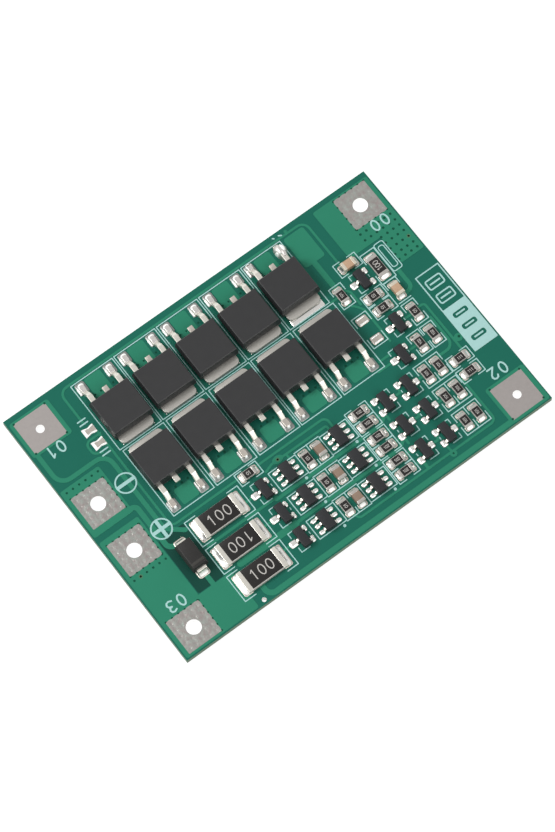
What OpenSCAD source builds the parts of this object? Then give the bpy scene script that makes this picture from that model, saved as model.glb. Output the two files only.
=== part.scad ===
// Battery management board for a three-cell pack.
// A printed circuit board carries ten power transistors in two rows, three bleed resistors,
// a clamp diode and the small parts of three cell channels. Six plated pads take the wires.
// X runs along the long side, Y across it and Z up. The origin is the middle of the underside.

/* [Board] */
// Length of the board along X
board_l = 60; // [60:0.5:72]
// Width of the board along Y
board_w = 41.2; // [41:0.2:48]
// Thickness of the board over both mask faces
board_t = 1.0; // [0.8:0.1:2]
// Diameter of the small locating hole by the lower edge
locating_hole_d = 0.65; // [0.5:0.05:1]
// Distance of the locating hole from the lower edge
locating_hole_edge = 0.6; // [0.6:0.1:1]
// Distance of the locating hole from the left edge
locating_hole_x = 12.9; // [10:0.1:20]

/* [Wire pads] */
// Side of each square wire pad
pad_side = 5.2; // [4:0.1:5.6]
// Thickness of the tinned land on each face
land_t = 0.05; // [0.04:0.01:0.1]
// Wall of the plated and tinned barrel that joins the two lands
barrel_wall = 0.2; // [0.16:0.01:0.3]
// Bore of the four large wire holes
wire_hole_d = 2.1; // [1.6:0.1:3]
// Bore of the two small tap wire holes
tap_hole_d = 1.2; // [0.8:0.1:1.6]
// Gap from the left and right edges to the pads
pad_side_margin = 0.8; // [0.5:0.05:1.2]
// Gap from the upper edge to the upper corner pads
pad_upper_margin = 1.15; // [0.5:0.05:1.5]
// Gap from the lower edge to the lower corner pads
pad_lower_margin = 0.55; // [0.5:0.05:1.5]
// Distance between the centres of the two load pads
load_pad_pitch = 8.08; // [6.5:0.02:8.6]
// Distance of the middle of the two load pads from the middle of the left edge
load_pad_mid_y = -0.3; // [-1:0.1:1]

/* [Moulded packages] */
// Draft of every moulded body, above and below its parting line
mould_draft = 11; // [3:1:15]
// Bevel along the top edges of the moulded bodies
mould_edge = 0.08; // [0.04:0.01:0.15]

/* [Power transistors] */
// Transistors in each of the two rows
fet_columns = 5; // [3:1:5]
// Width of the moulded body
fet_w = 6.4; // [6:0.1:6.8]
// Length of the moulded body from the tab side to the lead side
fet_l = 5.95; // [5.5:0.05:6.4]
// Height of the body's top over the board
fet_h = 2.35; // [2.1:0.05:2.6]
// Gap under the moulded body
fet_lift = 0.05; // [0.02:0.01:0.1]
// Gap between neighbouring bodies in a row
fet_gap = 0.62; // [0.3:0.02:1]
// Gap between the tabs of the two rows
fet_tab_gap = 0.8; // [0.6:0.1:1.2]
// Distance from the left edge to the first body
bank_left_margin = 10.24; // [9.8:0.02:10.6]
// Distance from the upper edge to the line between the two rows
bank_upper_margin = 12.75; // [12.6:0.05:13]
// Width of the cooling tab
tab_w = 5.35; // [5:0.05:5.6]
// Length of the tab that shows beyond the body
tab_out = 1.05; // [0.8:0.05:1.2]
// Corner radius of the tab
tab_r = 0.7; // [0.3:0.05:0.9]
// Thickness of the lead frame
frame_t = 0.5; // [0.4:0.05:0.6]
// Width of each lead
lead_w = 0.76; // [0.6:0.02:0.9]
// Distance from the middle of the body to each outer lead
lead_offset = 2.29; // [2.1:0.01:2.4]
// Drop of an outer lead from the body to the board
lead_drop = 0.9; // [0.7:0.05:1.1]
// Slope of the falling stretch of an outer lead
lead_slope = 42; // [30:1:60]
// Straight stretch of an outer lead before its first bend
lead_flat = 0.4; // [0.2:0.05:0.6]
// Length of an outer lead beyond the body
lead_out = 3.1; // [2.7:0.05:3.2]
// Length of the cut centre lead beyond the body
stub_out = 0.93; // [0.5:0.01:1.2]
// How far the last transistor of the upper row sits off its place along X
slip_x = -0.06; // [-0.1:0.01:0.1]
// How far the last transistor of the upper row sits off its place along Y
slip_y = 0.57; // [0:0.01:0.6]

/* [Bleed resistors] */
// Length of a bleed resistor
bleed_l = 6.35; // [6:0.05:6.6]
// Width of a bleed resistor
bleed_w = 3.2; // [2.8:0.05:3.4]
// Height of a bleed resistor
bleed_h = 0.6; // [0.45:0.05:0.8]
// Length of each metal end of a bleed resistor
bleed_end = 0.7; // [0.4:0.05:1]
// Gap between neighbouring bleed resistors
bleed_gap = 1.46; // [1:0.02:1.8]
// Distance from the left edge to the middle of the bleed resistors
bleed_left_margin = 15.05; // [14.8:0.05:15.4]
// Rise of the middle bleed resistor over the middle channel row
bleed_rise = 0.08; // [-0.3:0.02:0.3]

/* [Clamp diode] */
// Length of the moulded body
diode_l = 4.3; // [4:0.05:4.6]
// Width of the moulded body
diode_w = 2.45; // [2.2:0.05:2.8]
// Height of the body's top over the board
diode_h = 2.1; // [1.8:0.05:2.2]
// Width of the end straps
strap_w = 1.45; // [1.2:0.05:1.7]
// Thickness of the end straps
strap_t = 0.2; // [0.15:0.01:0.3]
// How far each strap stands out from its end of the body
strap_out = 0.35; // [0.25:0.01:0.5]
// Length of each strap folded back under the body
strap_fold = 1.3; // [0.8:0.05:1.5]
// Distance from the left edge to the middle of the diode
diode_left_margin = 8.8; // [8.6:0.05:9]
// Distance from the first channel row down to the middle of the diode
diode_fall = 1.76; // [1.5:0.02:2]

/* [Small packages] */
// Length of the small moulded bodies
small_l = 2.9; // [2.7:0.05:3.1]
// Width of a three-lead body
trio_w = 1.3; // [1.2:0.05:1.5]
// Height of a three-lead body
trio_h = 1.0; // [0.9:0.05:1.1]
// Width of a six-lead body
six_w = 1.6; // [1.4:0.05:1.8]
// Height of a six-lead body
six_h = 1.1; // [1:0.05:1.3]
// Gap under the small bodies
small_lift = 0.05; // [0.02:0.01:0.1]
// Width of their leads
small_lead_w = 0.4; // [0.3:0.02:0.5]
// Thickness of their leads
small_lead_t = 0.13; // [0.1:0.01:0.18]
// Drop of their leads from the body to the board
small_lead_drop = 0.45; // [0.35:0.05:0.5]
// Length of their leads beyond the body
small_lead_out = 0.58; // [0.5:0.02:0.65]
// Pitch of their leads
small_lead_pitch = 0.95; // [0.9:0.01:1]

/* [Chip parts] */
// Length of a chip resistor or capacitor
chip_l = 2.0; // [1.8:0.05:2.2]
// Width of a chip resistor or capacitor
chip_w = 1.25; // [1.1:0.05:1.4]
// Height of a chip resistor
resistor_h = 0.5; // [0.4:0.05:0.7]
// Height of a chip capacitor
capacitor_h = 1.0; // [0.7:0.05:1.25]
// Length of each metal end
chip_end = 0.37; // [0.25:0.01:0.5]
// Length of the large sense resistor
sense_l = 3.2; // [3:0.05:3.4]
// Width of the large sense resistor
sense_w = 1.6; // [1.4:0.05:1.8]
// Length of each metal end of the sense resistor
sense_end = 0.5; // [0.3:0.05:0.7]

/* [Channel rows] */
// Cell channels, one row of small parts each
channels = 3; // [1:1:3]
// Distance from the line between the transistor rows down to the first row
rows_fall = 15.8; // [15.6:0.05:16.2]
// Distance between neighbouring rows
row_pitch = 4.15; // [4:0.01:4.2]
// Distance from the lower edge to the last row
last_row_margin = 4.35; // [4.2:0.05:4.6]
// Distance from the left edge to the middle of the rows
rows_mid_margin = 30; // [29.8:0.05:30.2]
// Place of the left three-lead part from the middle of a row
trio_a_x = -8.1; // [-8.3:0.05:-7.9]
// Distance of both six-lead parts from the middle
six_x = 4.18; // [4.1:0.02:4.4]
// Place of the resistor between the six-lead parts, from the middle of a row
mid_resistor_x = -0.98; // [-1.1:0.02:-0.9]
// Place of the capacitor between the six-lead parts, from the middle of a row
mid_capacitor_x = 1.0; // [0.9:0.02:1.1]
// Place of the two stacked resistors, from the middle of a row
stack_x = 8.28; // [8.1:0.02:8.4]
// Rise of the two stacked resistors and of both three-lead parts beside them
stack_rise = 0.08; // [0:0.01:0.15]
// Distance between the two stacked resistors
stack_pitch = 1.88; // [1.7:0.02:2]
// Place of the second three-lead part from the middle of a row
trio_b_x = 12.05; // [11.9:0.05:12.2]
// Place of the third three-lead part from the middle of a row
trio_c_x = 15.87; // [15.6:0.05:16]
// Place of the first of the twin resistors at the end of a row, from its middle
twin_x = 18.8; // [18.7:0.05:18.9]
// Distance between the twin resistors
twin_pitch = 2.0; // [1.8:0.05:2.1]
// Place of the two resistors beyond the rows, from the middle of a row
outer_x = 23.7; // [23.5:0.05:23.9]
// Fall of the upper of those two resistors below the first row
outer_fall = 0.87; // [0.7:0.01:1]
// Distance between those two resistors
outer_pitch = 2.3; // [2:0.05:2.5]
// Place of the wire-link resistor above the rows, from the middle of a row
link_x = -8.4; // [-8.6:0.05:-8.2]
// Rise of the wire-link resistor over the first row
link_rise = 3.05; // [2.95:0.05:3.2]

/* [Control column] */
// Distance from the transistor bank to the first column of control parts
column_gap = 1.83; // [1.7:0.01:2]
// Step from the first column to the second
column_step_a = 3.4; // [3.2:0.05:3.6]
// Step from the second column to the third
column_step_b = 3.05; // [2.9:0.05:3.3]
// Rise of the upper capacitor over the line between the transistor rows
upper_capacitor_rise = 2.9; // [2.7:0.05:3.1]
// Rise of the sense resistor over that line
sense_rise = 0.45; // [0.3:0.05:0.6]
// Rise of the first three-lead part, and fall of the first resistor, from that line
first_offset = 0.1; // [0:0.05:0.2]
// Fall of the upper wire-link resistor below that line
upper_link_fall = 2.73; // [2.65:0.01:2.8]
// Fall of the lower capacitor
lower_capacitor_fall = 3.85; // [3.7:0.05:4]
// Fall of the upper empty land
upper_land_fall = 4.55; // [4.4:0.05:4.7]
// Fall of the lower wire-link resistor
lower_link_fall = 4.8; // [4.7:0.05:4.9]
// Fall of the second three-lead part and of the resistor beside it
middle_fall = 7.75; // [7.6:0.05:7.9]
// Fall of the lower empty land
lower_land_fall = 7.78; // [7.7:0.02:7.9]
// Fall of the two lowest resistors
lowest_fall = 11.7; // [11.6:0.05:11.8]
// Fall of the lowest three-lead part
lowest_trio_fall = 11.8; // [11.7:0.05:11.9]
// Place of the lowest three-lead part beyond the first column
lowest_trio_shift = 1.35; // [1.2:0.05:1.4]
// Place of the lowest resistor beside it beyond the second column
lowest_resistor_shift = 0.85; // [0.8:0.05:0.9]
// Place of the three-lead parts beyond the second column
column_trio_shift = 0.2; // [0:0.05:0.3]

/* [Solder] */
// Length of the solder in front of each large lead, strap and metal end
toe_l = 0.45; // [0.3:0.05:0.6]
// Height to which that solder climbs
toe_h = 0.35; // [0.2:0.05:0.45]
// Length of the solder in front of each cooling tab
tab_toe_l = 0.25; // [0.15:0.05:0.3]
// Length of each bridged solder jumper
bridge_l = 1.8; // [1.5:0.05:2]
// Width of each bridged solder jumper
bridge_w = 1.35; // [1:0.05:1.5]
// Height of the solder on bare lands
solder_h = 0.16; // [0.1:0.01:0.25]
// Distance of the jumpers from the transistor bank
bridge_gap = 1.84; // [1.7:0.01:2]
// Rise of the upper jumper over the line between the transistor rows
bridge_rise = 4.82; // [4.5:0.02:5]
// Distance between the two jumpers
bridge_pitch = 2.2; // [1.9:0.05:2.4]
// Length of each empty tinned land
spare_land_l = 1.65; // [1.4:0.05:1.8]
// Width of each empty tinned land
spare_land_w = 1.15; // [1:0.05:1.3]

/* [Hidden] */
$fn = 48;
// Steps in each bend of a large lead and of a small one
bend_steps = 3;
small_bend_steps = 2;
// How far a lead or strap reaches into its moulded body
lead_root = 0.9;
small_root = 0.2;
// Small leads: straight stretch, slope of the fall and bend radius
small_lead_flat = 0.03;
small_lead_slope = 78;
small_lead_bend = 0.1;
// Inner lead frame: distance from the lead side of the body to the end of the paddle
paddle_stop = 1.7;
// Thickness of the metal round the ends of a chip part, and of its protective coat
chip_skin = 0.03;
// Margin that the coat leaves at each side of a chip part
coat_margin = 0.06;
// Length by which a cutting or clipping shape overshoots what it cuts
over = 1;

left_edge = -board_l / 2;
right_edge = board_l / 2;
lower_edge = -board_w / 2;
upper_edge = board_w / 2;

// Across the board the parts keep their size, and the clear gaps share what a wider or narrower
// board adds or takes. First what each part of the layout needs, then how far the gaps stretch.
bank_half = fet_tab_gap / 2 + tab_out + fet_l + lead_out + toe_l;
row_need = stack_pitch + chip_w;
upper_need = bank_half + slip_y;
fall_need = max(bank_half + link_rise + chip_w / 2, lowest_trio_fall + small_l / 2 + row_need / 2);
layout_need = upper_need + fall_need + (channels - 1) * row_need + row_need / 2;
layout_w = bank_upper_margin + rows_fall + (channels - 1) * row_pitch + last_row_margin;
stretch = (board_w - layout_need) / (layout_w - layout_need);
real_row_pitch = spaced(row_pitch, row_need);
real_bleed_pitch = spaced(bleed_w + bleed_gap, bleed_w);

bank_left = left_edge + bank_left_margin;
bank_right = bank_left + fet_columns * (fet_w + fet_gap) - fet_gap;
bank_y = upper_edge - spaced(bank_upper_margin, upper_need);
rows_x = left_edge + rows_mid_margin;
first_row_y = bank_y - spaced(rows_fall, fall_need);
column_a = bank_right + column_gap;
column_b = column_a + column_step_a;
column_c = column_b + column_step_b;

left_pad_x = left_edge + pad_side_margin + pad_side / 2;
right_pad_x = right_edge - pad_side_margin - pad_side / 2;
upper_pad_y = upper_edge - pad_upper_margin - pad_side / 2;
lower_pad_y = lower_edge + pad_lower_margin + pad_side / 2;
load_plus_y = load_pad_mid_y - load_pad_pitch / 2;
load_minus_y = load_pad_mid_y + load_pad_pitch / 2;

// Every wire pad: name, place along X and Y, and bore
WIRE_PADS = [
    ["pad_tap_0", right_pad_x, upper_pad_y, wire_hole_d],
    ["pad_tap_1", left_pad_x, upper_pad_y, tap_hole_d],
    ["pad_tap_2", right_pad_x, lower_pad_y, tap_hole_d],
    ["pad_tap_3", left_pad_x, lower_pad_y, wire_hole_d],
    ["pad_load_minus", left_pad_x, load_minus_y, wire_hole_d],
    ["pad_load_plus", left_pad_x, load_plus_y, wire_hole_d]
];

// Places and turns of the three-lead parts: three in each row, then three in the control column
TRIOS = concat(
    [for (n = [0 : channels - 1]) each [
        [rows_x + trio_a_x, row_y(n), 180],
        [rows_x + trio_b_x, row_y(n) + stack_rise, 0],
        [rows_x + trio_c_x, row_y(n) + stack_rise, 0]]],
    [[column_b + column_trio_shift, bank_y + first_offset, 180],
     [column_b + column_trio_shift, bank_y - middle_fall, 180],
     [column_a + lowest_trio_shift, bank_y - lowest_trio_fall, 180]]
);

// Places and turns of the control resistors
CONTROL_RESISTORS = [
    [column_a, bank_y - first_offset, 90],
    [column_b, bank_y - upper_link_fall, 0],
    [column_b, bank_y - lower_link_fall, 0],
    [column_c, bank_y - middle_fall, 90],
    [column_b + lowest_resistor_shift, bank_y - lowest_fall, 90],
    [column_c, bank_y - lowest_fall, 90],
    [rows_x + outer_x, first_row_y - outer_fall, 0],
    [rows_x + outer_x, first_row_y - outer_fall - outer_pitch, 0],
    [rows_x + link_x, first_row_y + link_rise, 0]
];

// Places and turns of the capacitors: one in each row, then two in the control column
CAPACITORS = concat(
    [for (n = [0 : channels - 1]) [rows_x + mid_capacitor_x, row_y(n), 90]],
    [[column_b, bank_y + upper_capacitor_rise, 0], [column_c, bank_y - lower_capacitor_fall, 90]]
);

// Places of the sense resistor and of the two empty lands along Y
sense_y = bank_y + sense_rise;
spare_land_ys = [bank_y - upper_land_fall, bank_y - lower_land_fall];

FET_COUNT = 2 * fet_columns;

function row_y(n) = first_row_y - n * real_row_pitch;

// Distance across the board that holds parts of the given need, with its clear gap stretched
function spaced(distance, need) = need + (distance - need) * stretch;

// Section of a moulded body: w wide, from z0 over the parting line zp to z1
function mould_half(w, z0, zp, z1, draft, edge) = let (k = tan(draft)) [
    [w / 2 - (zp - z0) * k, z0],
    [w / 2, zp],
    [w / 2 - (z1 - edge - zp) * k, z1 - edge],
    [w / 2 - (z1 - zp) * k - edge, z1]
];
function mirrored(points) = [for (n = [len(points) - 1 : -1 : 0]) [-points[n][0], points[n][1]]];
function mould_section(w, z0, zp, z1, draft, edge) =
    let (half = mould_half(w, z0, zp, z1, draft, edge)) concat(half, mirrored(half));

// Stations along the middle of a gull-wing lead: distance out, height and slope
function gull_stations(root, flat, drop, slope, r, t, out, steps) =
    let (fall = (drop - 2 * r * (1 - cos(slope))) / sin(slope),
         heel = flat + 2 * r * sin(slope) + fall * cos(slope))
    concat(
        [[-root, t / 2 + drop, 0]],
        [for (n = [0 : steps]) let (a = slope * n / steps)
            [flat + r * sin(a), t / 2 + drop - r * (1 - cos(a)), a]],
        [for (n = [steps : -1 : 0]) let (a = slope * n / steps)
            [heel - r * sin(a), t / 2 + r * (1 - cos(a)), a]],
        [[out, t / 2, 0]]
    );
function strip_side(stations, offset) =
    [for (s = stations) [s[0] + offset * sin(s[2]), s[1] + offset * cos(s[2])]];
function strip_outline(stations, t) = let (below = strip_side(stations, -t / 2)) concat(
    strip_side(stations, t / 2),
    [for (n = [len(below) - 1 : -1 : 0]) below[n]]
);

// Stands a part on the board
module placed(x, y, turn = 0) {
    translate([x, y, board_t]) rotate([0, 0, turn]) children();
}

// Moulded body with draft on all four sides and clipped upright edges
module moulded_body(w, l, z0, zp, z1, draft = mould_draft, edge = mould_edge) {
    intersection() {
        rotate([90, 0, 0]) linear_extrude(l + over, center = true)
            polygon(mould_section(w, z0, zp, z1, draft, edge));
        rotate([90, 0, 90]) linear_extrude(w + over, center = true)
            polygon(mould_section(l, z0, zp, z1, draft, edge));
        translate([0, 0, z0 - over]) linear_extrude(z1 - z0 + 2 * over)
            clipped_rectangle(w, l, 2 * edge);
    }
}

module clipped_rectangle(w, l, c) {
    polygon([
        [-w / 2 + c, -l / 2], [w / 2 - c, -l / 2], [w / 2, -l / 2 + c], [w / 2, l / 2 - c],
        [w / 2 - c, l / 2], [-w / 2 + c, l / 2], [-w / 2, l / 2 - c], [-w / 2, -l / 2 + c]
    ]);
}

// Strip metal seen from its edge, bent in the plane of Y and Z and leaving towards -Y
module strip_metal(w, outline) {
    rotate([90, 0, -90]) linear_extrude(w, center = true) polygon(outline);
}

// Rectangle from y = 0 to y = l whose two corners at y = 0 are rounded
module tab_outline(w, l, r) {
    translate([-w / 2 + r, 0]) square([w - 2 * r, l]);
    translate([-w / 2, r]) square([w, l - r]);
    for (s = [-1, 1]) translate([s * (w / 2 - r), r]) circle(r);
}

module circuit_board() {
    color("seagreen")
    difference() {
        translate([left_edge, lower_edge, 0]) cube([board_l, board_w, board_t]);
        for (p = WIRE_PADS) translate([p[1], p[2], 0]) {
            cylinder(h = 3 * board_t, d = p[3] + 2 * barrel_wall, center = true);
            for (z = [0, board_t]) translate([0, 0, z])
                cube([pad_side, pad_side, 2 * land_t], center = true);
        }
        translate([left_edge + locating_hole_x, lower_edge + locating_hole_edge, 0])
            cylinder(h = 3 * board_t, d = locating_hole_d, center = true);
    }
}

// Plated pad: a square land flush with each face and the barrel between them
module wire_pad(x, y, bore) {
    color("silver")
    translate([x, y, 0]) difference() {
        union() {
            for (z = [0, board_t - land_t]) translate([-pad_side / 2, -pad_side / 2, z])
                cube([pad_side, pad_side, land_t]);
            cylinder(h = board_t, d = bore + 2 * barrel_wall);
        }
        cylinder(h = 3 * board_t, d = bore, center = true);
    }
}

// Lead frame of a power transistor, whose leads leave towards -Y
module fet_metal() {
    stub_z = lead_drop;
    paddle_end = -fet_l / 2 + paddle_stop;
    riser = 0.5;
    lean = 0.15;
    translate([0, fet_l / 2 + tab_out, 0]) rotate([0, 0, 180]) linear_extrude(frame_t)
        tab_outline(tab_w, tab_out + fet_l - paddle_stop, tab_r);
    strip_metal(lead_w, [
        [-paddle_end - riser, 0], [-paddle_end, 0], [-paddle_end + riser, stub_z],
        [fet_l / 2 + stub_out, stub_z], [fet_l / 2 + stub_out, stub_z + frame_t],
        [-paddle_end + riser - lean, stub_z + frame_t], [-paddle_end - lean, frame_t],
        [-paddle_end - riser, frame_t]
    ]);
    for (s = [-1, 1]) translate([s * lead_offset, -fet_l / 2, 0])
        strip_metal(lead_w, strip_outline(
            gull_stations(lead_root, lead_flat, lead_drop, lead_slope, frame_t, frame_t, lead_out,
                bend_steps),
            frame_t));
}

module fet_body() {
    difference() {
        moulded_body(fet_w, fet_l, fet_lift, lead_drop + frame_t / 2, fet_h);
        fet_metal();
    }
}

// Place of power transistor n: 1 to 5 in the upper row, 6 to 10 in the lower one
module at_fet(n) {
    upper = n <= fet_columns;
    column = (n - 1) % fet_columns;
    slipped = n == fet_columns ? 1 : 0;
    x = bank_left + fet_w / 2 + column * (fet_w + fet_gap);
    y = fet_tab_gap / 2 + tab_out + fet_l / 2;
    placed(x + slipped * slip_x, bank_y + (upper ? y : -y) + slipped * slip_y, upper ? 180 : 0)
        children();
}

module mosfet_body(n) {
    color("dimgray") at_fet(n) fet_body();
}

module mosfet_leads(n) {
    color("silver") at_fet(n) fet_metal();
}

// Ceramic chip with metal ends wrapped round it and, on a resistor, a coat on top
module chip(l, w, h, end, coated) {
    color("gainsboro") translate([-l / 2 + chip_skin, -w / 2 + chip_skin, chip_skin])
        cube([l - 2 * chip_skin, w - 2 * chip_skin, h - 2 * chip_skin]);
    color("silver") for (s = [-1, 1]) translate([s * (l - end) / 2, 0, h / 2])
        cube([end, w, h], center = true);
    if (coated) color("black") translate([-l / 2 + end, -w / 2 + coat_margin, h / 2])
        cube([l - 2 * end, w - 2 * coat_margin, h / 2]);
}

module resistor_chip() {
    chip(chip_l, chip_w, resistor_h, chip_end, true);
}

module capacitor_chip() {
    chip(chip_l, chip_w, capacitor_h, chip_end, false);
}

module at_bleed(n) {
    mid_y = row_y((channels - 1) / 2) + bleed_rise;
    y = mid_y + ((channels + 1) / 2 - n) * real_bleed_pitch;
    placed(left_edge + bleed_left_margin, y) children();
}

module bleed_resistor(n) {
    at_bleed(n) chip(bleed_l, bleed_w, bleed_h, bleed_end, true);
}

module at_diode() {
    placed(left_edge + diode_left_margin, first_row_y - diode_fall) children();
}

module clamp_diode() {
    strap_z = diode_h / 2;
    bend = strap_t / 2;
    at_diode() {
        color("dimgray") moulded_body(diode_w, diode_l, strap_t + small_lift, strap_z, diode_h);
        color("silver") for (turn = [0, 180]) rotate([0, 0, turn]) translate([0, -diode_l / 2, 0])
            strip_metal(strap_w, [
                [-small_root, strap_z + strap_t / 2], [strap_out - bend, strap_z + strap_t / 2],
                [strap_out, strap_z + strap_t / 2 - bend], [strap_out, bend],
                [strap_out - bend, 0], [strap_out - strap_fold, 0],
                [strap_out - strap_fold, strap_t], [strap_out - strap_t, strap_t],
                [strap_out - strap_t, strap_z - strap_t / 2], [-small_root, strap_z - strap_t / 2]
            ]);
    }
}

// One gull-wing lead of a small package whose side lies at x = reach
module small_lead(reach, y) {
    translate([reach, y, 0]) rotate([0, 0, 90]) strip_metal(small_lead_w, strip_outline(
        gull_stations(small_root, small_lead_flat, small_lead_drop, small_lead_slope,
            small_lead_bend, small_lead_t, small_lead_out, small_bend_steps),
        small_lead_t));
}

// Three-lead package: two leads towards -X and one towards +X
module trio() {
    color("dimgray") moulded_body(trio_w, small_l, small_lift,
        small_lead_drop + small_lead_t / 2, trio_h);
    color("silver") {
        small_lead(trio_w / 2, 0);
        for (s = [-1, 1]) rotate([0, 0, 180]) small_lead(trio_w / 2, s * small_lead_pitch);
    }
}

module six_lead() {
    color("dimgray") moulded_body(six_w, small_l, small_lift,
        small_lead_drop + small_lead_t / 2, six_h);
    color("silver") for (turn = [0, 180], s = [-1, 0, 1]) rotate([0, 0, turn])
        small_lead(six_w / 2, s * small_lead_pitch);
}

module small_transistor(n) {
    spot = TRIOS[n - 1];
    placed(spot[0], spot[1], spot[2]) trio();
}

module cell_monitor_ic(n) {
    placed(rows_x - six_x, row_y(n - 1)) six_lead();
}

module cell_balance_ic(n) {
    placed(rows_x + six_x, row_y(n - 1)) six_lead();
}

module channel_resistors(n) {
    y = row_y(n - 1);
    placed(rows_x + mid_resistor_x, y, 90) resistor_chip();
    for (s = [-1, 1]) placed(rows_x + stack_x, y + stack_rise + s * stack_pitch / 2)
        resistor_chip();
    for (k = [0, 1]) placed(rows_x + twin_x + k * twin_pitch, y, 90) resistor_chip();
}

module control_resistors() {
    for (spot = CONTROL_RESISTORS) placed(spot[0], spot[1], spot[2]) resistor_chip();
}

module sense_resistor() {
    placed(column_c, sense_y, 90) chip(sense_l, sense_w, resistor_h, sense_end, true);
}

module capacitor(n) {
    spot = CAPACITORS[n - 1];
    placed(spot[0], spot[1], spot[2]) capacitor_chip();
}

// Solder that bridges two lands, drawn in at its waist
module bridge_outline() {
    difference() {
        square([bridge_l, bridge_w], center = true);
        for (s = [-1, 1]) translate([0, s * (bridge_w / 2 + 0.35)]) circle(0.5);
    }
}

// Wedge of solder that leans on an end at y = 0 and runs out towards -Y
module solder_toe(w, l) {
    strip_metal(w, [[0, 0], [l, 0], [0, toe_h]]);
}

module solder_joints() {
    color("whitesmoke") {
        for (n = [1 : FET_COUNT]) at_fet(n) {
            for (s = [-1, 1]) translate([s * lead_offset, -fet_l / 2 - lead_out, 0])
                solder_toe(lead_w, toe_l);
            translate([0, fet_l / 2 + tab_out, 0]) rotate([0, 0, 180])
                solder_toe(tab_w - 2 * tab_r, tab_toe_l);
        }
        for (n = [1 : channels], turn = [90, -90]) at_bleed(n) rotate([0, 0, turn])
            translate([0, -bleed_l / 2, 0]) solder_toe(bleed_w, toe_l);
        for (turn = [0, 180]) at_diode() rotate([0, 0, turn])
            translate([0, -diode_l / 2 - strap_out, 0]) solder_toe(strap_w, toe_l);
        for (k = [0, 1])
            placed(bank_left - bridge_gap, bank_y + bridge_rise - k * bridge_pitch)
            linear_extrude(solder_h) bridge_outline();
        for (y = spare_land_ys) placed(column_a, y)
            moulded_body(spare_land_l, spare_land_w, 0, 0, solder_h, 45, 0.02);
    }
}

circuit_board();
for (p = WIRE_PADS) {
    wire_pad(p[1], p[2], p[3]);
}
for (n = [1 : FET_COUNT]) {
    mosfet_body(n);
    mosfet_leads(n);
}
for (n = [1 : channels]) {
    bleed_resistor(n);
    cell_monitor_ic(n);
    cell_balance_ic(n);
    channel_resistors(n);
}
clamp_diode();
for (n = [1 : len(TRIOS)]) {
    small_transistor(n);
}
control_resistors();
sense_resistor();
for (n = [1 : len(CAPACITORS)]) {
    capacitor(n);
}
solder_joints();
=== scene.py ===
"""Looks of the battery management board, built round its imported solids.

Lengths are millimetres in the part's frame: X and Y from the middle of the board, heights from its
underside. Pieces are scaled to metres when they are made.
"""

import random
from math import atan2, cos, hypot, pi, radians, sin, tan

import bpy
from mathutils import Matrix, Vector
from mathutils.geometry import delaunay_2d_cdt


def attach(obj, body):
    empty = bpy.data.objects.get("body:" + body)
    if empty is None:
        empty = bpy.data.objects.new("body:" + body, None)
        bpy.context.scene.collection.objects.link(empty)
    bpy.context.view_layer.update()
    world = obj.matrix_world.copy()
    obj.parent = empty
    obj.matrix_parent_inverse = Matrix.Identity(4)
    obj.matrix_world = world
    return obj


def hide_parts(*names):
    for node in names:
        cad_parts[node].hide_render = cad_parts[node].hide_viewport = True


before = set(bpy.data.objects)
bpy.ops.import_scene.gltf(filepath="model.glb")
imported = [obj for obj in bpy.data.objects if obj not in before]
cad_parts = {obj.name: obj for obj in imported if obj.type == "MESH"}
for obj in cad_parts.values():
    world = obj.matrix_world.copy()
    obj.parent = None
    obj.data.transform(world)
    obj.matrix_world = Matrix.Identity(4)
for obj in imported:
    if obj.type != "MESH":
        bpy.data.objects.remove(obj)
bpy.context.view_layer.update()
random.seed(7)

MM = 0.001
# Thickness of the board, and of the copper under its lacquer
TOP = 1.0
FOIL = 0.04
# Middles of the three cell channels, and of the five power transistors of a row
ROWS = (-7.95, -12.1, -16.25)
COLUMNS = tuple(-16.56 + 7.02 * i for i in range(5))
# Each shape of a flat layer adds to the layer or cuts it
ADD, CUT = 1, -1


def new_object(name, data):
    o = bpy.data.objects.new(name, data)
    bpy.context.scene.collection.objects.link(o)
    return o


# Colours and materials


def srgb(r, g, b):
    def linear(c):
        c /= 255
        return c / 12.92 if c <= 0.04045 else ((c + 0.055) / 1.055) ** 2.4

    return (linear(r), linear(g), linear(b), 1.0)


def shade(colour, k):
    return tuple(min(1.0, c * k) for c in colour[:3]) + (1.0,)


def new_node(tree, kind, operation=None, **values):
    """New node, with underscores for the spaces in the names of its inputs."""
    node = tree.nodes.new(kind)
    if operation:
        node.operation = operation
    for name, value in values.items():
        node.inputs[name.replace("_", " ")].default_value = value
    return node


def link(source, target):
    source.id_data.links.new(source, target)


ROUGH_SPREAD = 0.06


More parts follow.
